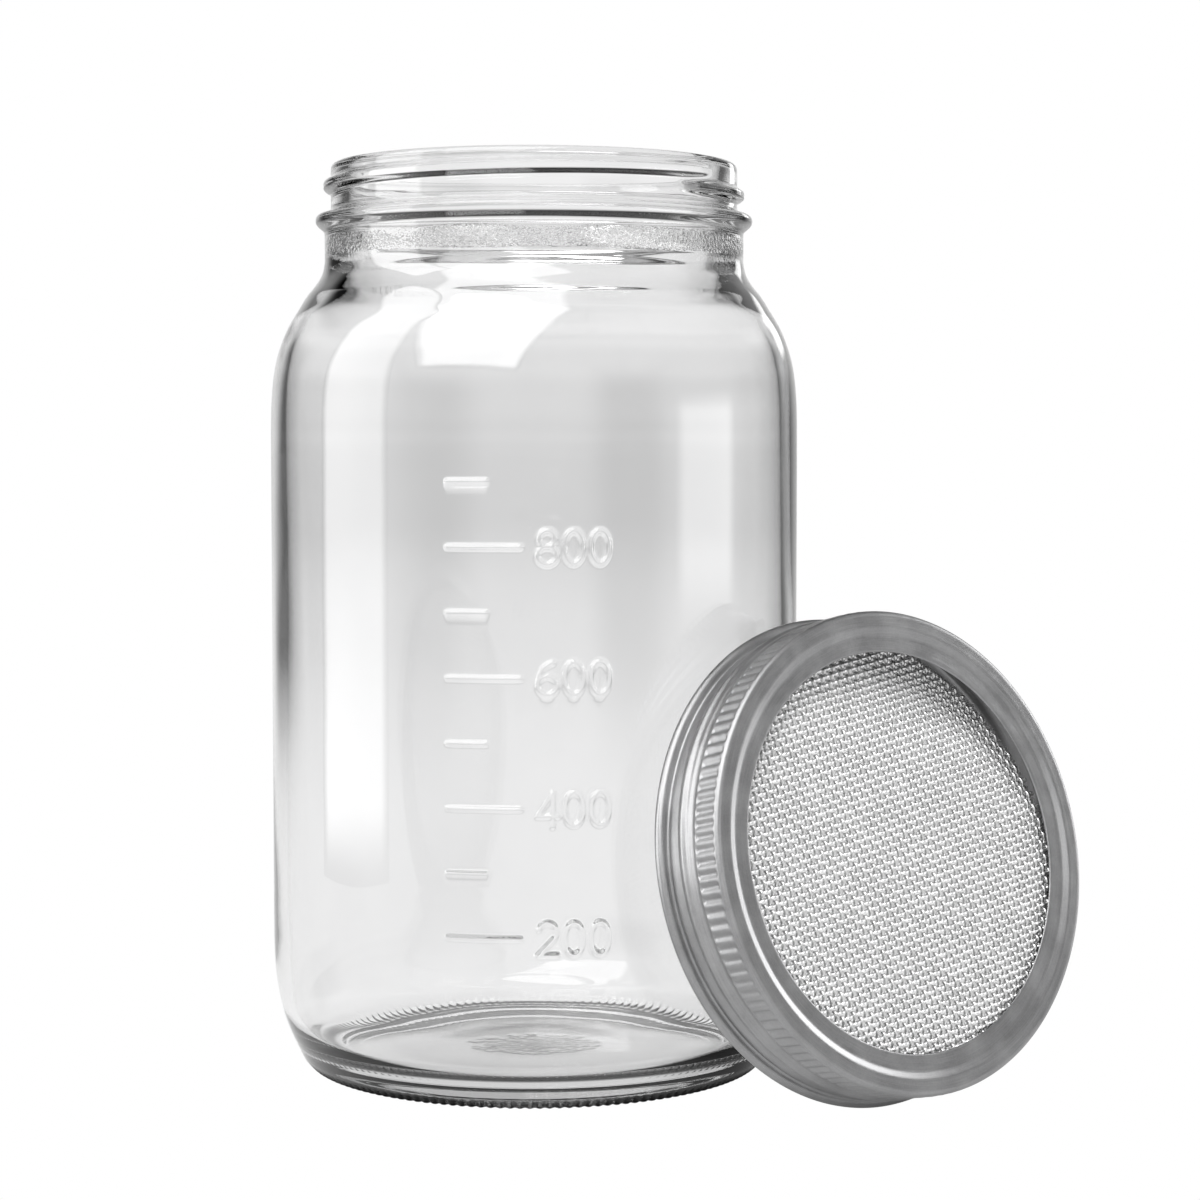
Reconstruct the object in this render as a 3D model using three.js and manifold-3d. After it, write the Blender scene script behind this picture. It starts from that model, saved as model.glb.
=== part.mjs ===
// Sprouting jar: a wide-mouth glass jar that stands upright, with its screw lid taken off and leaning on it.
// Millimetres, +Z up, the floor at z = 0. The origin is the middle of the footprint of jar and lid.
import * as THREE from "three";
import { mergeVertices } from "three/addons/utils/BufferGeometryUtils.js";
import Module from "manifold-3d";

// --- driving dimensions -------------------------------------------------------------------------
const JAR_X = -27.832; // jar axis in the frame
const JAR_Y = 10.886;
const JAR_HEIGHT = 185.1;
const BODY_R = 54.05;
const NECK_R = 42.92;
const BEAD_R = 44.74;
const FINISH_R = 41.6; // plain wall that carries the thread
const MOUTH_R = 38.0; // bore of the mouth
const BODY_WALL = 3.3;
const BASE_RING_IN = 41.4; // flat ring the jar stands on
const BASE_RING_OUT = 45.0;
const PUSH_UP = 1.3; // rise of the underside at the axis
const FLOOR_Z = 4.3; // inside floor

const THREAD_PITCH = 3.5;
const JAR_THREAD = {
  root: 40.7,
  crest: 43.07,
  tall: 3.7,
  flat: 1.5,
  z: 178.2,
  from: -45,
  sweep: 373,
  taper: 16,
};

const LID_X = 72.423; // middle of the lid's top face, seen from the jar axis
const LID_Y = -46.683;
const LID_Z = 50.545;
const LID_TURN = -52.7; // degrees from +X in which the lid faces
const LID_LEAN = 13.5; // degrees by which its face looks up
const BAND_HEIGHT = 17.85;
const BAND_R = 46.7; // fluted grip
const SKIRT_R = 46.5;
const SKIRT_IN = 45.7;
const CURL_R = 46.75; // rolled lower edge: middle and section radius
const CURL_ROLL = 1.2;
const OPENING_R = 38.6;
const STEP_R = 43.2;
const STEP_DROP = 0.66;
const SHEET = 0.85;
const FLANGE_R = 45.2; // the flat ring ends here and the wall begins after a fine seam
const SEAM = 0.3;
const BAND_THREAD = {
  root: 46.1,
  crest: 42.6,
  tall: 3.0,
  flat: 1.1,
  z: -13.0,
  from: 20,
  sweep: 350,
  taper: 16,
};

const SCREEN_R = 42.5;
const SCREEN_THICK = 0.9;
const SCREEN_DROP = [-1.9, 0.0]; // the loose disc has slid aside inside the band
const SCREEN_TILT = 1.5; // and its upper edge has fallen back, degrees
const SCREEN_TOP = -2.72; // its front, below the top face of the band

const SEGMENTS = 56;

// --- solids -------------------------------------------------------------------------------------
const wasm = await Module();
wasm.setup();
const rad = THREE.MathUtils.degToRad;

// A surface of revolution about Z from a profile of [radius, height] points. It starts and ends on the axis, or
// is closed on itself.
function turned(profile) {
  const points = profile.map(([r, z]) => new THREE.Vector2(r, z));
  if (profile[0][0] > 0) points.push(points[0].clone());
  return new THREE.LatheGeometry(points, SEGMENTS).rotateX(Math.PI / 2);
}

// A right-handed helical ridge: a straight bar of the thread's section, wrapped round Z, with run-out ends.
function ridge(t) {
  const steps = Math.round((t.sweep / 360) * SEGMENTS);
  const section = new THREE.Shape([
    new THREE.Vector2(0, -t.tall / 2),
    new THREE.Vector2(1, -t.flat / 2),
    new THREE.Vector2(1, t.flat / 2),
    new THREE.Vector2(0, t.tall / 2),
  ]);
  const bar = new THREE.ExtrudeGeometry(section, {
    depth: t.sweep,
    steps,
    bevelEnabled: false,
  });
  const p = bar.getAttribute("position");
  for (let i = 0; i < p.count; i++) {
    const turn = p.getZ(i);
    const end = Math.min(turn, t.sweep - turn) / t.taper;
    const k = 0.12 + 0.88 * Math.sin((Math.PI / 2) * Math.min(1, Math.max(0, end)));
    const r = t.root + (t.crest - t.root) * k * p.getX(i);
    const a = rad(t.from + turn);
    const z = t.z + (THREAD_PITCH * turn) / 360 + p.getY(i) * (0.55 + 0.45 * k);
    p.setXYZ(i, r * Math.cos(a), r * Math.sin(a), z);
  }
  return bar;
}

// A closed geometry as a solid, its faces turned to point out.
function solid(geometry) {
  const g = geometry.clone();
  g.deleteAttribute("normal");
  g.deleteAttribute("uv");
  const merged = mergeVertices(g, 1e-4);
  const at = merged.getAttribute("position");
  const index = merged.index.array;
  const faces = [];
  let volume = 0;
  const [a, b, c] = [0, 0, 0].map(() => new THREE.Vector3());
  for (let i = 0; i < index.length; i += 3) {
    const [u, v, w] = [index[i], index[i + 1], index[i + 2]];
    if (u === v || v === w || w === u) continue;
    faces.push([u, v, w]);
    a.fromBufferAttribute(at, u);
    b.fromBufferAttribute(at, v);
    c.fromBufferAttribute(at, w);
    volume += a.dot(b.cross(c));
  }
  if (volume < 0) faces.forEach((f) => f.reverse());
  return new wasm.Manifold(
    new wasm.Mesh({
      numProp: 3,
      vertProperties: new Float32Array(at.array),
      triVerts: new Uint32Array(faces.flat()),
    }),
  );
}

function geometryOf(body) {
  const m = body.getMesh();
  const g = new THREE.BufferGeometry();
  g.setAttribute("position", new THREE.BufferAttribute(m.vertProperties, 3));
  g.setIndex(new THREE.BufferAttribute(m.triVerts, 1));
  g.computeVertexNormals();
  return g;
}

// --- glass jar ----------------------------------------------------------------------------------
const jarOutside = [
  [0, PUSH_UP],
  [20, PUSH_UP - 0.1],
  [34, PUSH_UP - 0.4],
  [39.4, 0.45],
  [BASE_RING_IN, 0],
  [BASE_RING_OUT, 0],
  [46.5, 0.4],
  [48.4, 2.5],
  [49.4, 4.6],
  [50.9, 7.9],
  [52.1, 11.3],
  [53.0, 14.8],
  [53.7, 19.5],
  [BODY_R, 26],
  [BODY_R, 135],
  [53.6, 141.3],
  [52.85, 145.1],
  [51.8, 148.4],
  [50.4, 151.7],
  [48.5, 154.9],
  [46.5, 158.1],
  [44.6, 160.5],
  [43.5, 162.4],
  [NECK_R, 164.9],
  [NECK_R, 171.5],
  [44.4, 172.9],
  [BEAD_R, 173.8],
  [43.6, 175.2],
  [FINISH_R, 176.9],
  [FINISH_R, JAR_HEIGHT - 1.2],
  [41.1, JAR_HEIGHT - 0.3],
  [40.4, JAR_HEIGHT],
];
const BODY_IN = BODY_R - BODY_WALL;
const jarInside = [
  [39.0, JAR_HEIGHT],
  [MOUTH_R, JAR_HEIGHT - 1.0],
  [MOUTH_R, 166.5],
  [38.7, 163.0],
  [40.6, 159.6],
  [43.6, 156.2],
  [46.4, 152.4],
  [48.7, 147.9],
  [50.1, 142.6],
  [BODY_IN, 135],
  [BODY_IN, 26],
  [50.3, 18.0],
  [49.5, 13.0],
  [48.0, 9.2],
  [45.6, 6.4],
  [42.6, 4.9],
  [38.5, FLOOR_Z + 0.1],
  [0, FLOOR_Z],
];
const jar = solid(turned([...jarOutside, ...jarInside])).add(
  solid(ridge(JAR_THREAD)),
);

// --- lid: screw band and loose screen -----------------------------------------------------------
// The band is one pressed sheet. Its wall and its flat ring are separate nodes so that each stays a plain ring.
const curl = [150, 190, 230, 270, 310, 350, 30, 70].map((d) => [
  CURL_R + CURL_ROLL * Math.cos(rad(d)),
  CURL_ROLL - BAND_HEIGHT + CURL_ROLL * Math.sin(rad(d)),
]);
const skirtProfile = [
  ...curl,
  [46.35, -15.3],
  [46.25, -14.6],
  [SKIRT_R, -13.8],
  [SKIRT_R, -11.6],
  [46.85, -10.9],
  [46.85, -9.7],
  [SKIRT_R, -9.0],
  [46.3, -8.3],
  [46.3, -7.1],
  [BAND_R, -6.4],
  [BAND_R, -1.0],
  [46.5, -0.4],
  [45.9, 0],
  [FLANGE_R + SEAM, 0],
  [FLANGE_R + SEAM, -1.2],
  [SKIRT_IN, -1.4],
];
const flangeProfile = [
  [FLANGE_R, 0],
  [STEP_R + 0.8, 0],
  [STEP_R - 0.8, -STEP_DROP],
  [OPENING_R + 0.35, -STEP_DROP],
  [OPENING_R, -STEP_DROP - 0.25],
  [OPENING_R, -STEP_DROP - SHEET + 0.2],
  [OPENING_R + 0.35, -STEP_DROP - SHEET],
  [STEP_R - 0.55, -STEP_DROP - SHEET],
  [STEP_R + 1.05, -SHEET],
  [FLANGE_R, -SHEET],
];

const skirt = solid(turned(skirtProfile)).add(solid(ridge(BAND_THREAD)));
const flange = solid(turned(flangeProfile));

const screen = new THREE.CylinderGeometry(
  SCREEN_R,
  SCREEN_R,
  SCREEN_THICK,
  SEGMENTS,
).rotateX(Math.PI / 2);

// --- assembly -----------------------------------------------------------------------------------
function piece(name, geometry, look) {
  const mesh = new THREE.Mesh(geometry, new THREE.MeshStandardMaterial(look));
  mesh.name = name;
  return mesh;
}

const glassJar = piece("glass_jar", geometryOf(jar), {
  color: 0xe8eeee,
  roughness: 0.02,
  metalness: 0,
  transparent: true,
  opacity: 0.35,
});
glassJar.position.set(JAR_X, JAR_Y, 0);

const bandLook = { color: 0x8f9093, roughness: 0.38, metalness: 1 };
const bandSkirt = piece("band_skirt", geometryOf(skirt), bandLook);
const bandFlange = piece("band_flange", geometryOf(flange), bandLook);

const meshScreen = piece("mesh_screen", screen, {
  color: 0xc9cacc,
  roughness: 0.32,
  metalness: 1,
});
meshScreen.position.set(
  SCREEN_DROP[0],
  SCREEN_DROP[1],
  SCREEN_TOP - SCREEN_THICK / 2,
);
meshScreen.rotation.x = -rad(SCREEN_TILT);

// The lid's own frame: its face along +Z, the top of the leaning lid along +Y.
const lid = new THREE.Group();
lid.name = "lid";
lid.position.set(JAR_X + LID_X, JAR_Y + LID_Y, LID_Z);
lid.rotation.set(rad(90 - LID_LEAN), 0, rad(90 + LID_TURN), "ZXY");
lid.add(bandSkirt, bandFlange, meshScreen);

const part = new THREE.Group();
part.name = "sprouting_jar";
part.add(glassJar, lid);

export default part;
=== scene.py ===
import math

import bpy
import numpy as np
from mathutils import Matrix, Vector

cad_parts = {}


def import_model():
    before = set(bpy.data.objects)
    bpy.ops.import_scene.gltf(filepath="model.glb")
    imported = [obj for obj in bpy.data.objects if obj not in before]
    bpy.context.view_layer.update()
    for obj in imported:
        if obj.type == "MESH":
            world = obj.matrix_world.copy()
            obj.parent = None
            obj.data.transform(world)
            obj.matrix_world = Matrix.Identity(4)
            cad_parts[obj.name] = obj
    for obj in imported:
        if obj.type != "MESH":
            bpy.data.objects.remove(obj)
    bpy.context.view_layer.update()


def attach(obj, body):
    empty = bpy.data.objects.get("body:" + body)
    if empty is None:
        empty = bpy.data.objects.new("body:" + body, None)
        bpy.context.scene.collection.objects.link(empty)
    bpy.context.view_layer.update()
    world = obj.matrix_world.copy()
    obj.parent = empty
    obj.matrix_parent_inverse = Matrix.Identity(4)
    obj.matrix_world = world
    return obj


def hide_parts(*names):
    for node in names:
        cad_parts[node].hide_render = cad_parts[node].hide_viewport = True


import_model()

MM = 0.001

# --- the part's own frame, in millimetres -------------------------------------------------------
JAR_AT = (-27.832, 10.886, 0.0)
JAR_HEIGHT = 185.1
BODY_R = 54.05
FINISH_R = 41.6
LID_AT = (44.591, -35.797, 50.545)
LID_TURN = -52.7
LID_LEAN = 13.5
SCREEN_AT = (-1.9, 0.4, -3.25)
SCREEN_TILT = 1.5
SCREEN_R = 42.5

rad = math.radians
JAR_FRAME = Matrix.Translation(Vector(JAR_AT) * MM)
LID_FRAME = (
    Matrix.Translation(Vector(LID_AT) * MM)
    @ Matrix.Rotation(rad(90 + LID_TURN), 4, "Z")
    @ Matrix.Rotation(rad(90 - LID_LEAN), 4, "X")
)
SCREEN_FRAME = (
    LID_FRAME
    @ Matrix.Translation(Vector(SCREEN_AT) * MM)
    @ Matrix.Rotation(-rad(SCREEN_TILT), 4, "X")
)


# --- camera -------------------------------------------------------------------------------------
def camera():
    data = bpy.data.cameras.new("camera")
    data.sensor_fit = "HORIZONTAL"
    data.sensor_width = 36.0
    data.lens = 84.0
    data.clip_start = 0.01
    data.clip_end = 60.0
    data.dof.use_dof = False
    obj = bpy.data.objects.new("camera", data)
    bpy.context.scene.collection.objects.link(obj)
    obj.location = Vector((-14.337, -567.959, 128.728)) * MM
    obj.rotation_euler = (math.pi / 2 - 0.0569, 0.0, 0.0)
    bpy.context.scene.camera = obj


camera()


# --- mesh helpers -------------------------------------------------------------------------------
def smoothstep(a, b, x):
    t = np.clip((np.asarray(x, float) - a) / (b - a), 0.0, 1.0)
    return t * t * (3.0 - 2.0 * t)


def spline(points, step):
    """A centripetal Catmull-Rom curve through the points, sampled about every step."""
    p = np.array(points, float)
    p = np.vstack([2 * p[0] - p[1], p, 2 * p[-1] - p[-2]])
    out = []
    for i in range(1, len(p) - 2):
        p0, p1, p2, p3 = p[i - 1], p[i], p[i + 1], p[i + 2]
        t0 = 0.0
        t1 = t0 + max(np.linalg.norm(p1 - p0), 1e-6) ** 0.5
        t2 = t1 + max(np.linalg.norm(p2 - p1), 1e-6) ** 0.5
        t3 = t2 + max(np.linalg.norm(p3 - p2), 1e-6) ** 0.5
        n = max(1, int(math.ceil(np.linalg.norm(p2 - p1) / step)))
        for t in np.linspace(t1, t2, n, endpoint=False):
            a1 = (t1 - t) / (t1 - t0) * p0 + (t - t0) / (t1 - t0) * p1
            a2 = (t2 - t) / (t2 - t1) * p1 + (t - t1) / (t2 - t1) * p2
            a3 = (t3 - t) / (t3 - t2) * p2 + (t - t2) / (t3 - t2) * p3
            b1 = (t2 - t) / (t2 - t0) * a1 + (t - t0) / (t2 - t0) * a2
            b2 = (t3 - t) / (t3 - t1) * a2 + (t - t1) / (t3 - t1) * a3
            out.append((t2 - t) / (t2 - t1) * b1 + (t - t1) / (t2 - t1) * b2)
    out.append(p[-2])
    return np.array(out)


class Rings:
    """A skin of rings about Z. A ring is a list of turn angles with a radius and a height at each."""

    def __init__(self):
        self.points = []
        self.faces = []
        self.count = 0
        self.first = None
        self.last = None

    def _put(self, xyz):
        start = self.count
        self.points.append(np.asarray(xyz, float))
        self.count += len(xyz)
        return start

    def pole(self, z):
        start = self._put([[0.0, 0.0, z]])
        self._join((start, None))
        return self

    def ring(self, angles, r, z):
        r = np.broadcast_to(np.asarray(r, float), angles.shape)
        z = np.broadcast_to(np.asarray(z, float), angles.shape)
        start = self._put(np.stack([r * np.cos(angles), r * np.sin(angles), z], 1))
        self._join((start, angles))
        return self

    def _join(self, new):
        if self.last is not None:
            self._skin(self.last, new)
        else:
            self.first = new
        self.last = new

    def close(self):
        self._skin(self.last, self.first)

    def _skin(self, low, high):
        a, ta = low
        b, tb = high
        if ta is None or tb is None:
            start, angles = (b, tb) if ta is None else (a, ta)
            n = len(angles)
            for j in range(n):
                k = (j + 1) % n
                self.faces.append((a, b + k, b + j) if ta is None else (a + j, a + k, b))
            return
        n, m = len(ta), len(tb)
        if n == m and np.allclose(ta, tb):
            j = np.arange(n)
            k = (j + 1) % n
            self.faces.extend(np.stack([a + j, a + k, b + k, b + j], 1).tolist())
            return
        i = j = 0
        two_pi = 2 * math.pi
        while i < n or j < m:
            next_a = ta[i + 1] if i + 1 < n else ta[0] + two_pi
            next_b = tb[j + 1] if j + 1 < m else tb[0] + two_pi
            if j >= m or (i < n and next_a <= next_b):
                self.faces.append((a + i % n, a + (i + 1) % n, b + j % m))
                i += 1
            else:
                self.faces.append((a + i % n, b + (j + 1) % m, b + j % m))
                j += 1

    def mesh(self, name, frame_of=None):
        return solid(name, np.vstack(self.points), self.faces, frame_of)


def solid(name, points, faces, frame_of=None):
    mesh = bpy.data.meshes.new(name)
    mesh.from_pydata((np.asarray(points) * MM).tolist(), [], faces)
    if frame_of is not None:
        mesh.transform(frame_of)
    mesh.polygons.foreach_set("use_smooth", [True] * len(mesh.polygons))
    mesh.update()
    obj = bpy.data.objects.new(name, mesh)
    bpy.context.scene.collection.objects.link(obj)
    return obj


# --- raised measuring scale on the front of the glass -------------------------------------------
def arc(cx, cy, rx, ry, a, b, n=20):
    t = np.radians(np.linspace(a, b, n))
    return [(cx + rx * math.cos(k), cy + ry * math.sin(k)) for k in t]


DIGITS = {
    "0": [arc(0.3, 0.5, 0.27, 0.47, 0, 360, 32)],
    "2": [arc(0.3, 0.7, 0.26, 0.27, 165, -38, 18) + [(0.04, 0.03), (0.57, 0.03)]],
    "4": [[(0.45, 0.0), (0.45, 0.97), (0.02, 0.30), (0.60, 0.30)]],
    "6": [
        arc(0.3, 0.3, 0.27, 0.27, 0, 360, 28),
        arc(0.52, 0.32, 0.49, 0.64, 178, 98, 14),
    ],
    "8": [arc(0.3, 0.735, 0.22, 0.235, 0, 360, 24), arc(0.3, 0.265, 0.27, 0.26, 0, 360, 28)],
}
SCALE_ML = (200, 300, 400, 500, 600, 700, 800, 900)
STROKE = 0.72
RELIEF = 0.62
DIGIT = 6.6


def level(ml):
    return 9.8 + ml / 8.09


def strokes():
    lines = []
    for ml in SCALE_ML:
        z = level(ml)
        if ml % 200 == 0:
            lines.append(np.array([(-15.5, z), (-1.5, z)]))
            x = 1.6
            for c in str(ml):
                for s in DIGITS[c]:
                    lines.append(np.array(s) * DIGIT + (x, z - DIGIT / 2))
                x += DIGIT * 0.76
        else:
            lines.append(np.array([(-15.5, z), (-8.0, z)]))
    return lines


def distance(px, py, lines):
    best = np.full(px.shape, 1e9)
    for line in lines:
        for (x0, y0), (x1, y1) in zip(line[:-1], line[1:]):
            dx, dy = x1 - x0, y1 - y0
            t = np.clip(((px - x0) * dx + (py - y0) * dy) / (dx * dx + dy * dy + 1e-12), 0, 1)
            best = np.minimum(best, np.hypot(px - x0 - t * dx, py - y0 - t * dy))
    return best


# --- glass jar ----------------------------------------------------------------------------------
def thread(turns, z):
    """Height of the jar's right-handed thread over its plain wall."""
    start, sweep, taper, pitch, z0 = rad(-45), rad(373), rad(16), 3.5, 178.2
    out = np.zeros(np.broadcast(turns, z).shape)
    base = np.mod(turns - start, 2 * math.pi)
    for lap in (0, 1):
        turn = base + lap * 2 * math.pi
        end = np.minimum(turn, sweep - turn) / taper
        k = np.sin(np.pi / 2 * np.clip(end, 0, 1)) ** 0.8
        half = 1.85 * (0.62 + 0.38 * k)
        d = np.abs(z - z0 - pitch * turn / (2 * math.pi)) / half
        out = np.maximum(out, 1.47 * k * smoothstep(0.0, 0.72, 1.0 - d))
    return out


def glass_jar():
    rng = np.random.default_rng(7)
    front = -math.pi / 2
    arc_half = rad(18.6)
    fine = np.linspace(-arc_half, arc_half, 122)
    coarse = np.linspace(arc_half, 2 * math.pi - arc_half, 262)[1:-1]
    cols = np.concatenate([fine, coarse]) + front
    knurled = np.linspace(-arc_half, 2 * math.pi - arc_half, 900, endpoint=False) + front
    inner = np.linspace(-arc_half, 2 * math.pi - arc_half, 240, endpoint=False) + front
    hub = np.linspace(-arc_half, 2 * math.pi - arc_half, 220, endpoint=False) + front
    skin = Rings()

    # Underside: a low push-up, its middle roughened by small raised dots.
    under = np.vstack([
        spline([(0, 1.3), (8, 1.29), (15, 1.25)], 0.45)[:-1],
        spline([(15, 1.25), (20, 1.2), (34, 0.9), (39.4, 0.45), (40.8, 0.1)], 1.4),
    ])
    far = 13.5 * rng.uniform(0.01, 1.0, 230) ** 0.6
    turn = rng.uniform(0, 2 * math.pi, 230)
    dots = np.stack([far * np.cos(turn), far * np.sin(turn)], 1)
    skin.pole(1.3)
    for r, z in under[1:]:
        at = np.stack([r * np.cos(hub), r * np.sin(hub)], 1)
        d = np.linalg.norm(at[:, None, :] - dots[None, :, :], axis=2)
        skin.ring(hub, r, z - 0.62 * np.clip(np.exp(-((d / 0.62) ** 2)).sum(1), 0, 1.3))

    # Bearing ring with its knurl, and the heel.
    heel = spline(
        [(41.4, 0.0), (43.2, 0.0), (45.0, 0.0), (46.5, 0.4), (47.6, 1.45), (48.4, 2.5), (48.9, 3.5)], 0.45
    )
    wave = 0.5 + 0.5 * np.cos(knurled * 150)
    for r, z in heel:
        k = smoothstep(42.2, 43.0, r) * (1 - smoothstep(47.0, 48.2, r))
        skin.ring(knurled, r - 0.22 * k * wave, z + 0.18 * k * wave)

    # Outside wall with the raised scale.
    marks = [level(ml) for ml in SCALE_ML]
    wall = spline(
        [(49.4, 4.6), (50.15, 6.2), (50.9, 7.9), (52.1, 11.3), (53.0, 14.8), (53.7, 19.5), (54.02, 26), (54.05, 30)], 0.8
    ).tolist()
    z = 30.0
    while z < 126.0:
        near = min((abs(z - m) - (DIGIT / 2 + 1.1 if ml % 200 == 0 else 1.2)) for m, ml in zip(marks, SCALE_ML))
        z += 0.30 if near < 0.3 else 1.2
        wall.append([BODY_R, z])
    wall += spline(
        [(54.05, z + 1.2), (54.03, 131.5), (53.92, 136), (53.5, 141.2), (52.83, 145.0), (51.8, 148.4), (50.4, 151.7), (48.5, 154.9),
         (46.5, 158.1), (44.6, 160.5), (43.5, 162.4), (42.95, 164.9), (42.92, 167)], 0.7
    ).tolist()
    wall = np.array(wall)
    height = np.zeros((len(wall), len(cols)))
    n = len(fine)
    px = np.broadcast_to(fine * BODY_R, (len(wall), n))
    py = np.broadcast_to(wall[:, 1:2], (len(wall), n))
    d = distance(px, py, strokes())
    height[:, :n] = RELIEF * np.clip(1 - (d / STROKE) ** 2, 0, 1) ** 1.5
    for (r, z), h in zip(wall, height):
        skin.ring(cols, r + h, z)

    # Neck, bead and threaded finish.
    finish = spline(
        [(42.92, 168.5), (42.92, 170.5), (42.98, 170.95), (43.25, 171.4), (43.75, 171.85), (44.25, 172.3), (44.6, 172.75),
         (44.74, 173.3), (44.66, 173.95), (44.3, 174.4), (43.3, 174.75), (42.3, 175.05), (41.85, 175.4), (41.65, 176.0), (41.6, 177), (41.6, 183.6),
         (41.45, 184.4), (41.0, 184.9), (40.3, 185.1)], 0.2
    )
    for r, z in finish:
        k = smoothstep(176.0, 177.4, z)
        skin.ring(cols, r + thread(cols, z) * k * (1 - smoothstep(183.9, 184.6, z)), z)

    # Inside, with the slight unevenness of blown glass.
    inside = spline(
        [(39.0, 185.05), (38.35, 184.75), (38.0, 184.0), (38, 178), (38.0, 168.5), (38.1, 166.0), (38.7, 163.0), (40.6, 159.6),
         (43.6, 156.2), (46.4, 152.4), (48.7, 147.9), (50.05, 142.6), (50.58, 136.5), (50.72, 130), (50.75, 120), (50.75, 40),
         (50.7, 26), (50.3, 18), (49.5, 13), (48.0, 9.2), (45.6, 6.4), (42.6, 4.9), (38.5, 4.4), (20, 4.33), (1.5, 4.3)], 1.3
    )
    for r, z in inside:
        k = smoothstep(36, 44, r) * smoothstep(10, 40, z) * (1 - smoothstep(150, 172, z))
        ripple = (
            0.10 * np.sin(2 * inner + 0.7 + z * 0.013)
            + 0.06 * np.sin(5 * inner + 1.9 - z * 0.031)
            + 0.035 * np.sin(11 * inner + z * 0.045)
        )
        skin.ring(inner, r + k * ripple, z)
    skin.pole(4.3)
    return skin.mesh("jar_glass", JAR_FRAME)


# --- screw band ---------------------------------------------------------------------------------
FLUTES = 126


def screw_band():
    turns = np.linspace(0, 2 * math.pi, FLUTES * 6, endpoint=False)
    curl = [
        (46.72 + 1.2 * math.cos(rad(d)), -16.65 + 1.2 * math.sin(rad(d)))
        for d in (135, 165, 195, 225, 255, 285, 315, 345, 15, 45, 75, 98)
    ]
    outer = spline(
        curl
        + [(46.12, -15.25), (46.1, -14.7), (46.42, -14.15), (46.52, -13.5), (46.52, -11.9), (46.52, -10.0),
           (46.5, -8.6), (46.34, -8.1), (46.34, -7.3), (46.55, -6.75), (46.7, -6.3), (46.7, -3.8), (46.7, -1.3), (46.62, -0.75),
           (46.32, -0.24), (45.8, 0.0)], 0.36
    )
    flange = spline([(45.4, 0.0), (44.4, -0.01), (43.6, 0.0), (43.2, -0.09), (42.65, -0.33), (42.1, -0.57), (41.7, -0.66),
                     (41.2, -0.68), (40.2, -0.68), (39.1, -0.68), (38.75, -0.75), (38.6, -0.9), (38.72, -1.06), (39.1, -1.13)], 0.3)
    inner = spline([(40.5, -1.14), (41.8, -1.12), (42.8, -0.85), (44.2, -0.55), (45.5, -0.6), (46.0, -0.95), (46.12, -1.6),
                    (46.12, -6.4), (45.8, -7.3), (45.8, -8.1), (46.0, -8.8), (46.02, -10), (46.02, -13.6), (45.7, -14.6), (45.72, -15.2)], 0.75)
    skin = Rings()

    def roll(z):
        """The helical thread rolled into the sheet, seen as a soft rib from outside and inside."""
        turn = np.mod(turns - rad(20), 2 * math.pi)
        end = np.clip(np.minimum(turn, rad(350) - turn) / rad(20), 0, 1)
        at = -11.7 + 3.0 * turn / (2 * math.pi)
        d = np.abs(z - at) / 1.15
        return np.sin(np.pi / 2 * end) * np.clip(1 - d * d, 0, 1) ** 1.5

    for r, z in outer:
        k = smoothstep(-6.75, -6.0, z) * (1 - smoothstep(-1.5, -0.85, z))
        valley = (0.5 + 0.5 * np.cos(turns * FLUTES)) ** 1.4
        skin.ring(turns, r - 0.5 * k * valley + (0.42 * roll(z) if -14 < z < -7.5 and r > 46 else 0), z)
    for r, z in flange:
        skin.ring(turns, r, z)
    for r, z in inner:
        k = smoothstep(-6.75, -6.0, z) * (1 - smoothstep(-1.5, -0.85, z))
        valley = (0.5 + 0.5 * np.cos(turns * FLUTES)) ** 1.4
        skin.ring(turns, r - 0.5 * k * valley - (0.9 * roll(z) if -14 < z < -7.5 else 0), z)
    skin.close()
    return skin.mesh("band_shell", LID_FRAME)


# --- woven wire screen --------------------------------------------------------------------------
PITCH = 1.44
WIRE = 0.46
BEND = 4.6
WEAVE_TURN = 10.0


def dent(x, y):
    """The limp disc is bent back along its upper right edge."""
    p = (0.423 * x + 0.906 * y) / SCREEN_R
    return BEND * smoothstep(0.42, 1.0, p)


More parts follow.
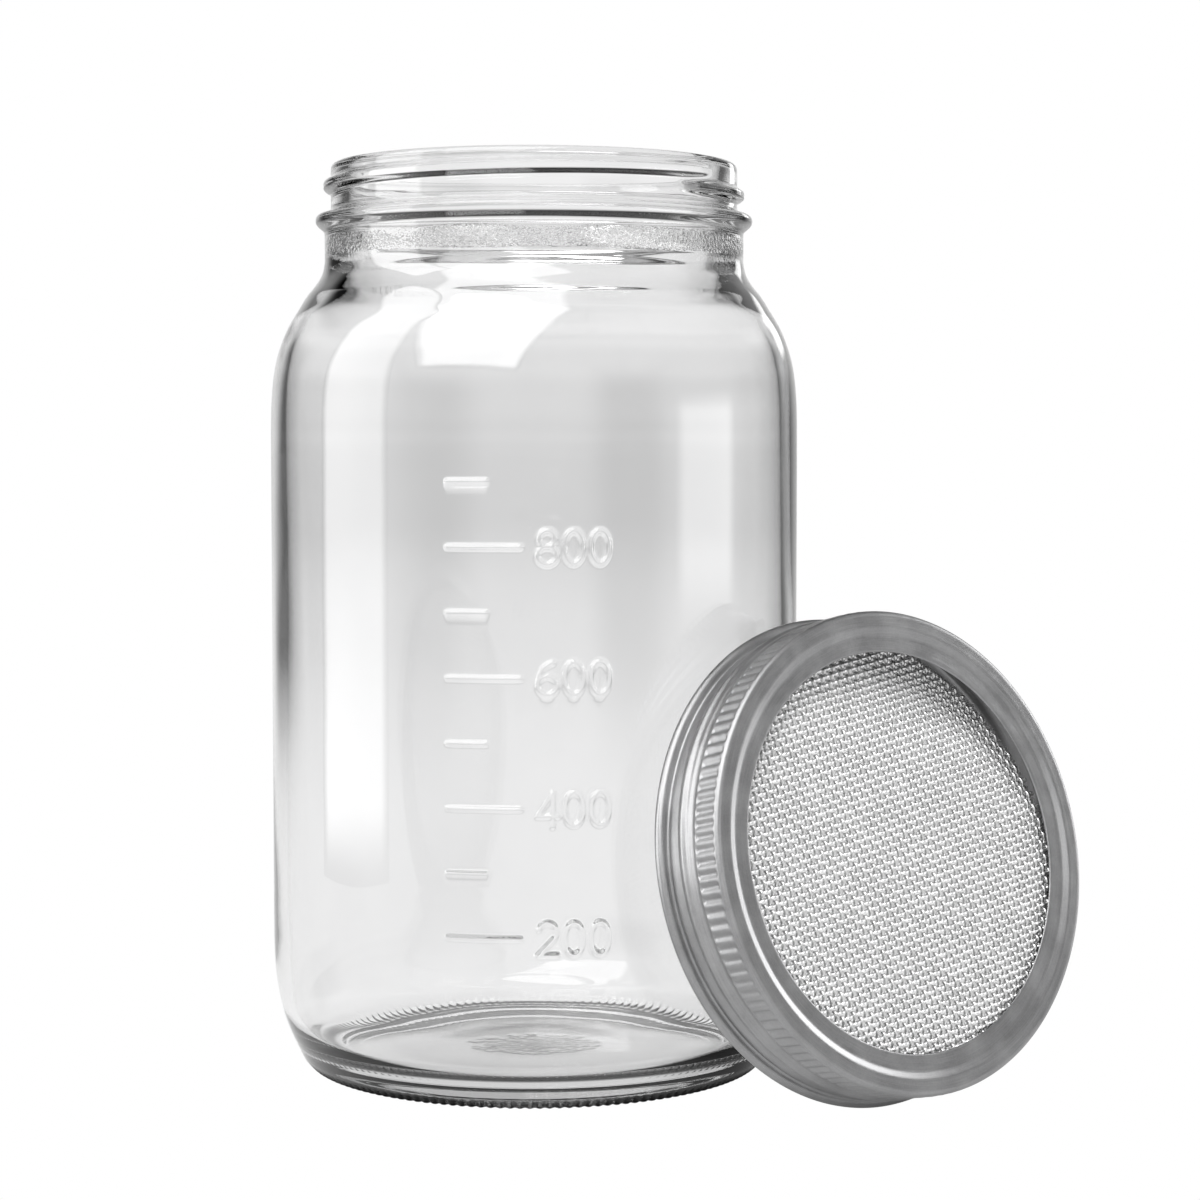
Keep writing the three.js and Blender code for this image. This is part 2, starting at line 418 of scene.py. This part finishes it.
def wires(name, first):
    """One set of parallel wires of a plain weave, each going over and under the other set in turn."""
    sides = 6
    ring = np.arange(sides) * 2 * math.pi / sides
    c, s = math.cos(rad(WEAVE_TURN)), math.sin(rad(WEAVE_TURN))
    edge = SCREEN_R - 0.05
    count = int(edge / PITCH) + 1
    points, faces, start = [], [], 0
    rng = np.random.default_rng(3 if first else 4)

    def plane(p):
        return c * p[:, 0] - s * p[:, 1], s * p[:, 0] + c * p[:, 1]

    for i in range(-count, count + 1):
        across = (i + 0.5) * PITCH
        if abs(across) > edge - 0.3:
            continue
        half = math.sqrt(edge * edge - across * across)
        along = np.arange(math.ceil(-half / PITCH * 4 + 0.2), math.floor(half / PITCH * 4 - 0.2) + 1) * PITCH / 4.0
        along = np.concatenate([[-half], along, [half]])
        phase = 0.0 if i % 2 else math.pi
        lift = WIRE * 0.98 * np.sin(math.pi * along / PITCH + phase)
        sway = 0.05 * np.sin(along * 0.21 + rng.uniform(0, 6)) + 0.03 * rng.uniform(-1, 1)
        line = np.stack([along, across + sway, lift], 1)
        line[:, 2] -= dent(*(plane(line) if first else plane(np.stack([-line[:, 1], line[:, 0]], 1))))
        tangent = np.gradient(line, along, axis=0)
        tangent /= np.linalg.norm(tangent, axis=1)[:, None]
        side = np.tile((0.0, 1.0, 0.0), (len(line), 1))
        up = np.cross(tangent, side)
        up /= np.linalg.norm(up, axis=1)[:, None]
        tube = (
            line[:, None, :]
            + WIRE * (np.cos(ring)[None, :, None] * side[:, None, :] + np.sin(ring)[None, :, None] * up[:, None, :])
        ).reshape(-1, 3)
        if not first:
            tube = np.stack([-tube[:, 1], tube[:, 0], tube[:, 2]], 1)
        tube = np.stack([c * tube[:, 0] - s * tube[:, 1], s * tube[:, 0] + c * tube[:, 1], tube[:, 2]], 1)
        points.append(tube)
        n = len(line)
        a = (np.arange(n - 1)[:, None] * sides + np.arange(sides)[None, :]).ravel()
        b = (np.arange(n - 1)[:, None] * sides + (np.arange(sides)[None, :] + 1) % sides).ravel()
        faces.extend((np.stack([a, a + sides, b + sides, b], 1) + start).tolist())
        faces.append([start + k for k in range(sides)])
        faces.append([start + (n - 1) * sides + k for k in reversed(range(sides))])
        start += n * sides
    return solid(name, np.vstack(points), faces, SCREEN_FRAME)


# --- materials ----------------------------------------------------------------------------------
class Nodes:
    def __init__(self, name):
        self.material = bpy.data.materials.new(name)
        self.material.use_nodes = True
        self.tree = self.material.node_tree
        self.tree.nodes.clear()
        self.out = self.add("ShaderNodeOutputMaterial")

    def add(self, kind, **values):
        node = self.tree.nodes.new(kind)
        for key, value in values.items():
            if key in node.inputs.keys():
                node.inputs[key].default_value = value
            else:
                setattr(node, key, value)
        return node

    def link(self, a, b):
        self.tree.links.new(a, b)

    def math(self, op, a, b=None, c=None):
        node = self.tree.nodes.new("ShaderNodeMath")
        node.operation = op
        for i, v in enumerate((a, b, c)):
            if v is None:
                continue
            if isinstance(v, (int, float)):
                node.inputs[i].default_value = v
            else:
                self.link(v, node.inputs[i])
        return node.outputs[0]

    def ramp(self, value, low, high, a, b):
        node = self.add("ShaderNodeMapRange", interpolation_type="SMOOTHSTEP")
        self.link(value, node.inputs["Value"])
        for key, v in (("From Min", low), ("From Max", high), ("To Min", a), ("To Max", b)):
            node.inputs[key].default_value = v
        return node.outputs["Result"]

    def noise(self, vector, scale, detail=2.0, rough=0.5):
        node = self.add("ShaderNodeTexNoise")
        node.inputs["Scale"].default_value = scale
        node.inputs["Detail"].default_value = detail
        node.inputs["Roughness"].default_value = rough
        if vector is not None:
            self.link(vector, node.inputs["Vector"])
        return node.outputs["Fac"]

    def colours(self, value, stops):
        node = self.add("ShaderNodeValToRGB")
        ramp = node.color_ramp
        while len(ramp.elements) < len(stops):
            ramp.elements.new(0.5)
        for e, (at, rgb) in zip(ramp.elements, stops):
            e.position = at
            e.color = (*rgb, 1.0)
        self.link(value, node.inputs["Fac"])
        return node.outputs["Color"]

    def bump(self, height, strength, depth):
        node = self.add("ShaderNodeBump")
        node.inputs["Strength"].default_value = strength
        node.inputs["Distance"].default_value = depth
        self.link(height, node.inputs["Height"])
        return node.outputs["Normal"]


def place(n, frame_of):
    """A piece's own coordinates in metres, with the distance from its axis and the turn about it."""
    own = n.add("ShaderNodeMapping", vector_type="TEXTURE")
    own.inputs["Location"].default_value = frame_of.to_translation()
    own.inputs["Rotation"].default_value = frame_of.to_euler("XYZ")
    n.link(n.add("ShaderNodeTexCoord").outputs["Object"], own.inputs["Vector"])
    at = own.outputs[0]
    split = n.add("ShaderNodeSeparateXYZ")
    n.link(at, split.inputs[0])
    x, y, z = split.outputs
    r = n.math("SQRT", n.math("ADD", n.math("MULTIPLY", x, x), n.math("MULTIPLY", y, y)))
    turn = n.math("ARCTAN2", y, x)
    return at, x, y, z, r, turn


def glass():
    n = Nodes("clear_glass")
    at, x, y, z, r, turn = place(n, JAR_FRAME)
    p = n.add("ShaderNodeBsdfPrincipled")
    p.inputs["Transmission Weight"].default_value = 1.0
    p.inputs["IOR"].default_value = 1.5
    tint = n.colours(n.noise(at, 45.0, 3.0), [(0.3, (0.97, 0.97, 0.972)), (0.7, (0.995, 0.995, 0.996))])
    n.link(tint, p.inputs["Base Color"])
    # Polished all over, a little grainy on the neck below the bead and under the base.
    neck = n.math(
        "MULTIPLY",
        n.ramp(z, 0.1655, 0.1675, 0.0, 1.0),
        n.ramp(z, 0.1686, 0.1702, 1.0, 0.0),
    )
    neck = n.math("MULTIPLY", neck, n.ramp(n.noise(at, 34.0, 2.0), 0.47, 0.63, 0.08, 1.0))
    hub = n.math("MULTIPLY", n.ramp(z, 0.0020, 0.0028, 1.0, 0.0), n.ramp(r, 0.012, 0.016, 0.5, 0.0))
    grain = n.noise(at, 1500.0, 1.0)
    rough = n.math("MULTIPLY_ADD", n.math("ADD", neck, hub), n.math("MULTIPLY", grain, 0.05), n.math("MULTIPLY", n.noise(at, 60.0, 2.0), 0.012))
    n.link(rough, p.inputs["Roughness"])
    wave = n.noise(at, 38.0, 1.0)
    sand = n.add("ShaderNodeBump")
    sand.inputs["Strength"].default_value = 1.0
    sand.inputs["Distance"].default_value = 0.0003
    n.link(n.math("MULTIPLY", grain, neck), sand.inputs["Height"])
    n.link(n.bump(wave, 0.25, 0.00035), sand.inputs["Normal"])
    n.link(sand.outputs["Normal"], p.inputs["Normal"])
    n.link(p.outputs[0], n.out.inputs["Surface"])
    inside = n.add("ShaderNodeVolumeAbsorption")
    inside.inputs["Color"].default_value = (0.5, 0.5, 0.5, 1.0)
    inside.inputs["Density"].default_value = 16.0
    n.link(inside.outputs[0], n.out.inputs["Volume"])
    return n.material


def band_steel():
    n = Nodes("satin_band_steel")
    at, x, y, z, r, turn = place(n, LID_FRAME)
    p = n.add("ShaderNodeBsdfPrincipled")
    p.inputs["Metallic"].default_value = 1.0
    # Fine turning marks run round the band; broader clouds and specks of wear lie over them.
    lines = n.add("ShaderNodeCombineXYZ")
    n.link(n.math("MULTIPLY", r, 9000.0), lines.inputs[0])
    n.link(n.math("MULTIPLY", turn, 5.0), lines.inputs[1])
    n.link(n.math("MULTIPLY", z, 9000.0), lines.inputs[2])
    turned = n.noise(lines.outputs[0], 1.0, 2.0, 0.6)
    cloud = n.noise(at, 130.0, 4.0, 0.6)
    speck = n.noise(at, 2400.0, 2.0, 0.7)
    mix = n.math("MULTIPLY_ADD", turned, 0.35, n.math("MULTIPLY_ADD", cloud, 0.45, n.math("MULTIPLY", speck, 0.2)))
    # Inside, under the flat ring, a darker copy of the steel is mixed in as painted shade, and the sheet is made
    # rougher there.
    painted_shade_and_rough_inside = n.math("MULTIPLY", n.ramp(r, 0.0456, 0.0462, 1.0, 0.0), n.ramp(z, -0.0013, -0.0008, 1.0, 0.0))
    bright = n.colours(mix, [(0.32, (0.235, 0.235, 0.238)), (0.68, (0.385, 0.385, 0.389))])
    dim = n.colours(mix, [(0.32, (0.12, 0.12, 0.121)), (0.68, (0.21, 0.21, 0.212))])
    both = n.add("ShaderNodeMix", data_type="RGBA")
    n.link(painted_shade_and_rough_inside, both.inputs[0])
    n.link(bright, both.inputs[6])
    n.link(dim, both.inputs[7])
    n.link(both.outputs[2], p.inputs["Base Color"])
    satin = n.math("MULTIPLY_ADD", n.ramp(r, 0.0455, 0.0462, 0.0, 1.0), 0.08, n.ramp(mix, 0.3, 0.7, 0.28, 0.42))
    n.link(n.math("MULTIPLY_ADD", painted_shade_and_rough_inside, 0.2, satin), p.inputs["Roughness"])
    n.link(n.bump(n.math("MULTIPLY_ADD", turned, 0.6, n.math("MULTIPLY", speck, 0.4)), 0.12, 0.0001), p.inputs["Normal"])
    n.link(p.outputs[0], n.out.inputs["Surface"])
    return n.material


def wire_steel(name, dark, light):
    n = Nodes(name)
    at, x, y, z, r, turn = place(n, SCREEN_FRAME)
    p = n.add("ShaderNodeBsdfPrincipled")
    p.inputs["Metallic"].default_value = 1.0
    cloud = n.noise(at, 260.0, 3.0, 0.6)
    drawn = n.noise(at, 5200.0, 2.0, 0.6)
    mix = n.math("MULTIPLY_ADD", cloud, 0.6, n.math("MULTIPLY", drawn, 0.4))
    n.link(n.colours(mix, [(0.3, (dark, dark, dark)), (0.7, (light, light, light))]), p.inputs["Base Color"])
    n.link(n.ramp(mix, 0.3, 0.7, 0.24, 0.38), p.inputs["Roughness"])
    n.link(n.bump(drawn, 0.15, 0.00005), p.inputs["Normal"])
    n.link(p.outputs[0], n.out.inputs["Surface"])
    return n.material


# --- stage --------------------------------------------------------------------------------------
def emitter(name, strength):
    n = Nodes(name)
    e = n.add("ShaderNodeEmission")
    e.inputs["Strength"].default_value = strength
    n.link(e.outputs[0], n.out.inputs["Surface"])
    return n.material


def seen_by(obj, camera):
    """Keeps a stage piece to the camera's own rays, or to reflections and refractions."""
    obj.visible_camera = camera
    obj.visible_diffuse = obj.visible_glossy = obj.visible_transmission = not camera
    obj.visible_shadow = False


def disc(name, z, reach):
    turns = np.linspace(0, 2 * math.pi, 96, endpoint=False)
    skin = Rings()
    skin.pole(z)
    for r in (60, 150, 400, 900, 2500, reach):
        skin.ring(turns, float(r), z)
    return skin.mesh(name)


def floor():
    shown = disc("floor", -0.25, 7000)
    shown.data.materials.append(emitter("floor_white", 1.0))
    seen_by(shown, True)
    glow = disc("floor_glow", -0.35, 24000)
    n = Nodes("floor_glow")
    at, x, y, z, r, turn = place(n, JAR_FRAME)
    e = n.add("ShaderNodeEmission")
    # Under the jar the floor is dimmer, darkest along the line of contact, and it is shaded behind the lid.
    far = n.math("ADD", n.ramp(r, 0.35, 1.3, 0.33, 0.26), n.ramp(r, 0.8, 4.0, 0.58, 0.45))
    far = n.math("ADD", far, n.ramp(r, 0.055, 0.20, 0.04, 0.0))
    under = n.math("MULTIPLY", n.ramp(r, 0.0428, 0.0450, 0.72, 0.05), n.ramp(r, 0.026, 0.036, 0.74, 1.0))
    under = n.math("MULTIPLY", under, n.ramp(r, 0.003, 0.0160, 0.42, 1.0))
    back = n.math("MULTIPLY", n.ramp(y, 0.004, 0.026, 0.0, 1.0), n.ramp(r, 0.0438, 0.0456, 0.0, 1.0))
    clear = n.math("MAXIMUM", n.ramp(r, 0.0460, 0.0494, 0.0, 1.0), back)
    dx, dy = n.math("SUBTRACT", x, 0.062), n.math("SUBTRACT", y, -0.030)
    gap = n.math("SQRT", n.math("ADD", n.math("MULTIPLY", dx, dx), n.math("MULTIPLY", dy, dy)))
    shade = n.ramp(gap, 0.012, 0.042, 0.22, 1.0)
    # The four grey flags of the studio go on across the floor.
    xx, yy = n.math("MULTIPLY", x, x), n.math("MULTIPLY", y, y)
    side = n.math("ABSOLUTE", n.math("DIVIDE", n.math("SUBTRACT", xx, yy), n.math("ADD", xx, yy)))
    flag = n.math("MULTIPLY", n.ramp(side, 0.25, 0.75, 0.84, 0.0), n.ramp(r, 0.25, 1.30, 0.0, 1.0))
    far = n.math("MULTIPLY", far, n.math("SUBTRACT", 1.0, flag))
    lit = n.math("MULTIPLY", n.math("MULTIPLY_ADD", clear, n.math("SUBTRACT", far, under), under), shade)
    n.link(lit, e.inputs["Strength"])
    n.link(e.outputs[0], n.out.inputs["Surface"])
    glow.data.materials.append(n.material)
    seen_by(glow, False)


def sky():
    """The white studio behind the part, a wide closed shell that only the camera sees."""
    turns = np.linspace(0, 2 * math.pi, 48, endpoint=False)
    skin = Rings()
    skin.pole(-8000.0)
    for k in range(-75, 76, 15):
        skin.ring(turns, 8000.0 * math.cos(rad(k)), 8000.0 * math.sin(rad(k)))
    skin.pole(8000.0)
    obj = skin.mesh("backdrop")
    obj.data.materials.append(emitter("backdrop_white", 1.0))
    seen_by(obj, True)


def softbox(name, centre, aim, width, height, strength, feather, through=False):
    c, a = Vector(centre), Vector(aim)
    face = (a - c).normalized()
    side = face.cross(Vector((0, 0, 1)))
    side = side.normalized() if side.length > 1e-4 else Vector((1, 0, 0))
    up = side.cross(face)
    w, h = side * width / 2, up * height / 2
    corners = [c - w - h, c + w - h, c + w + h, c - w + h]
    mesh = bpy.data.meshes.new(name)
    mesh.from_pydata([list(k) for k in corners], [], [(0, 1, 2, 3)])
    uv = mesh.uv_layers.new(name="panel")
    for k, at in enumerate(((0, 0), (1, 0), (1, 1), (0, 1))):
        uv.data[k].uv = at
    obj = bpy.data.objects.new(name, mesh)
    bpy.context.scene.collection.objects.link(obj)
    # The light fades towards the edges of the panel.
    n = Nodes(name)
    split = n.add("ShaderNodeSeparateXYZ")
    n.link(n.add("ShaderNodeUVMap", uv_map="panel").outputs["UV"], split.inputs[0])
    lit = None
    for axis, soft in ((0, feather / width), (1, feather / height)):
        middle = n.math("ABSOLUTE", n.math("SUBTRACT", split.outputs[axis], 0.5))
        fade = n.ramp(middle, 0.5 - soft, 0.5, 1.0, 0.0)
        lit = fade if lit is None else n.math("MULTIPLY", lit, fade)
    e = n.add("ShaderNodeEmission")
    n.link(n.math("MULTIPLY", lit, strength), e.inputs["Strength"])
    n.link(e.outputs[0], n.out.inputs["Surface"])
    mesh.materials.append(n.material)
    seen_by(obj, False)
    obj.visible_transmission = through
    return obj


def lamp(name, centre, aim, width, height, strength, feather, pieces):
    """A soft panel that is shaded off from all but the pieces named."""
    light = bpy.data.lights.new(name, "AREA")
    light.shape = "RECTANGLE"
    light.size, light.size_y = width, height
    light.energy = strength * math.pi * width * height
    light.use_nodes = True
    tree = light.node_tree
    e = next(k for k in tree.nodes if k.bl_idname == "ShaderNodeEmission")
    split = tree.nodes.new("ShaderNodeSeparateXYZ")
    tree.links.new(tree.nodes.new("ShaderNodeNewGeometry").outputs["Parametric"], split.inputs[0])
    last = None
    for axis, soft in ((0, feather / width), (1, feather / height)):
        shift = tree.nodes.new("ShaderNodeMath")
        shift.operation = "SUBTRACT"
        shift.inputs[1].default_value = 0.5
        tree.links.new(split.outputs[axis], shift.inputs[0])
        middle = tree.nodes.new("ShaderNodeMath")
        middle.operation = "ABSOLUTE"
        tree.links.new(shift.outputs[0], middle.inputs[0])
        fade = tree.nodes.new("ShaderNodeMapRange")
        fade.interpolation_type = "SMOOTHSTEP"
        tree.links.new(middle.outputs[0], fade.inputs["Value"])
        for key, v in (("From Min", 0.5 - soft), ("From Max", 0.5), ("To Min", 1.0), ("To Max", 0.0)):
            fade.inputs[key].default_value = v
        if last is None:
            last = fade.outputs[0]
        else:
            both = tree.nodes.new("ShaderNodeMath")
            both.operation = "MULTIPLY"
            tree.links.new(last, both.inputs[0])
            tree.links.new(fade.outputs[0], both.inputs[1])
            last = both.outputs[0]
    tree.links.new(last, e.inputs["Strength"])
    obj = bpy.data.objects.new(name, light)
    bpy.context.scene.collection.objects.link(obj)
    obj.location = centre
    obj.rotation_euler = (Vector(aim) - Vector(centre)).to_track_quat("-Z", "Y").to_euler()
    seen_by(obj, False)
    obj.visible_transmission = False
    group = bpy.data.collections.new(name + "_on")
    for piece in pieces:
        group.objects.link(piece)
    obj.light_linking.receiver_collection = group


def world():
    w = bpy.data.worlds.new("studio")
    bpy.context.scene.world = w
    w.use_nodes = True
    t = w.node_tree
    t.nodes.clear()

    def math_node(op, a, b):
        node = t.nodes.new("ShaderNodeMath")
        node.operation = op
        for i, v in enumerate((a, b)):
            if isinstance(v, (int, float)):
                node.inputs[i].default_value = v
            else:
                t.links.new(v, node.inputs[i])
        return node.outputs[0]

    out = t.nodes.new("ShaderNodeOutputWorld")
    bg = t.nodes.new("ShaderNodeBackground")
    at = t.nodes.new("ShaderNodeTexCoord")
    split = t.nodes.new("ShaderNodeSeparateXYZ")
    t.links.new(at.outputs["Generated"], split.inputs[0])
    x, y, z = split.outputs
    # Bright along the horizon, dimmer overhead, with four grey flags between the sides.
    ramp = t.nodes.new("ShaderNodeValToRGB")
    stops = [(0.0, 0.72), (0.02, 0.79), (0.06, 0.88), (0.15, 0.96), (0.32, 0.90), (0.45, 0.60), (0.7, 0.44), (1.0, 0.40)]
    while len(ramp.color_ramp.elements) < len(stops):
        ramp.color_ramp.elements.new(0.5)
    for e, (p, v) in zip(ramp.color_ramp.elements, stops):
        e.position = p
        e.color = (v, v, v, 1.0)
    t.links.new(z, ramp.inputs["Fac"])
    xx, yy = math_node("MULTIPLY", x, x), math_node("MULTIPLY", y, y)
    side = math_node("ABSOLUTE", math_node("DIVIDE", math_node("SUBTRACT", xx, yy), math_node("ADD", xx, yy)), 0)
    flag = t.nodes.new("ShaderNodeMapRange")
    flag.interpolation_type = "SMOOTHSTEP"
    t.links.new(side, flag.inputs["Value"])
    for key, v in (("From Min", 0.25), ("From Max", 0.75), ("To Min", 0.12), ("To Max", 1.0)):
        flag.inputs[key].default_value = v
    # A grey flag over the right side keeps the lid's flat ring from mirroring the white, and a black one high at the
    # back draws the lines of the bead and thread.
    card = []
    for source, low, high, a, b in (
        (x, 0.70, 0.92, 0.0, 0.50),
        (z, 0.04, 0.12, 0.0, 1.0),
        (y, 0.15, 0.42, 0.0, 0.98),
        (z, 0.40, 0.50, 0.0, 1.0),
        (x, 0.28, 0.52, 1.0, 0.0),
    ):
        node = t.nodes.new("ShaderNodeMapRange")
        node.interpolation_type = "SMOOTHSTEP"
        t.links.new(source, node.inputs["Value"])
        for key, v in (("From Min", low), ("From Max", high), ("To Min", a), ("To Max", b)):
            node.inputs[key].default_value = v
        card.append(node.outputs[0])
    dim = math_node("SUBTRACT", 1.0, math_node("MULTIPLY", card[0], card[1]))
    dim = math_node("MULTIPLY", dim, math_node("SUBTRACT", 1.0, math_node("MULTIPLY", card[2], math_node("MULTIPLY", card[3], card[4]))))
    # The four flags stand low; above them the dome is even.
    low = t.nodes.new("ShaderNodeMapRange")
    low.interpolation_type = "SMOOTHSTEP"
    t.links.new(z, low.inputs["Value"])
    for key, v in (("From Min", 0.12), ("From Max", 0.40), ("To Min", 0.0), ("To Max", 1.0)):
        low.inputs[key].default_value = v
    flags = math_node("MAXIMUM", flag.outputs[0], low.outputs[0])
    t.links.new(ramp.outputs["Color"], bg.inputs["Color"])
    t.links.new(math_node("MULTIPLY", flags, dim), bg.inputs["Strength"])
    t.links.new(bg.outputs[0], out.inputs["Surface"])


jar = glass_jar()
jar.data.materials.append(glass())
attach(jar, "jar")
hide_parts("glass_jar")

band = screw_band()
band.data.materials.append(band_steel())
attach(band, "band")
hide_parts("band_skirt", "band_flange")

screen = [wires("screen_warp", True), wires("screen_weft", False)]
# The second set of wires gets a darker base colour than the first. This is painted shade for the light that catches
# those wires less; the steel is the same.
for cloth, dark, light in zip(screen, (0.84, 0.62), (0.96, 0.78)):
    cloth.data.materials.append(wire_steel(cloth.name + "_steel", dark, light))
    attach(cloth, "screen")
    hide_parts("mesh_screen")

floor()
sky()
world()
JX, JY = JAR_AT[0] * MM, JAR_AT[1] * MM
softbox("softbox_left", (JX - 0.30, JY - 0.0735, 0.300), (JX, JY - 0.0185, 0.300), 0.202, 0.600, 4.6, 0.025)
softbox("softbox_front", (JX - 0.235, JY - 0.44, 0.73), (JX, JY, 0.15), 0.72, 1.00, 4.5, 0.06, True)
lamp("lamp_right", (JX + 0.190, JY - 0.067, 0.1205), (JX, JY, 0.1205), 0.115, 0.082, 3.4, 0.022, [jar])
lamp("lamp_shoulder", (JX + 0.271, JY + 0.418, 0.265), (JX + 0.046, JY - 0.012, 0.155), 0.12, 0.12, 2.4, 0.03, [jar])
LID = (LID_AT[0] * MM, LID_AT[1] * MM, LID_AT[2] * MM)
lamp("lamp_step_high", (0.507, 0.157, 0.270), LID, 0.24, 0.24, 4.6, 0.05, [band])
lamp("lamp_step_back", (0.555, 0.264, 0.120), LID, 0.24, 0.26, 4.2, 0.05, [band])
lamp("lamp_step_front", (0.420, -0.473, 0.215), LID, 0.24, 0.24, 2.4, 0.05, [band])
lamp("lamp_screen", (0.477, -0.039, 0.301), LID, 0.45, 0.36, 2.5, 0.1, screen)
bpy.context.scene.view_settings.view_transform = "Standard"
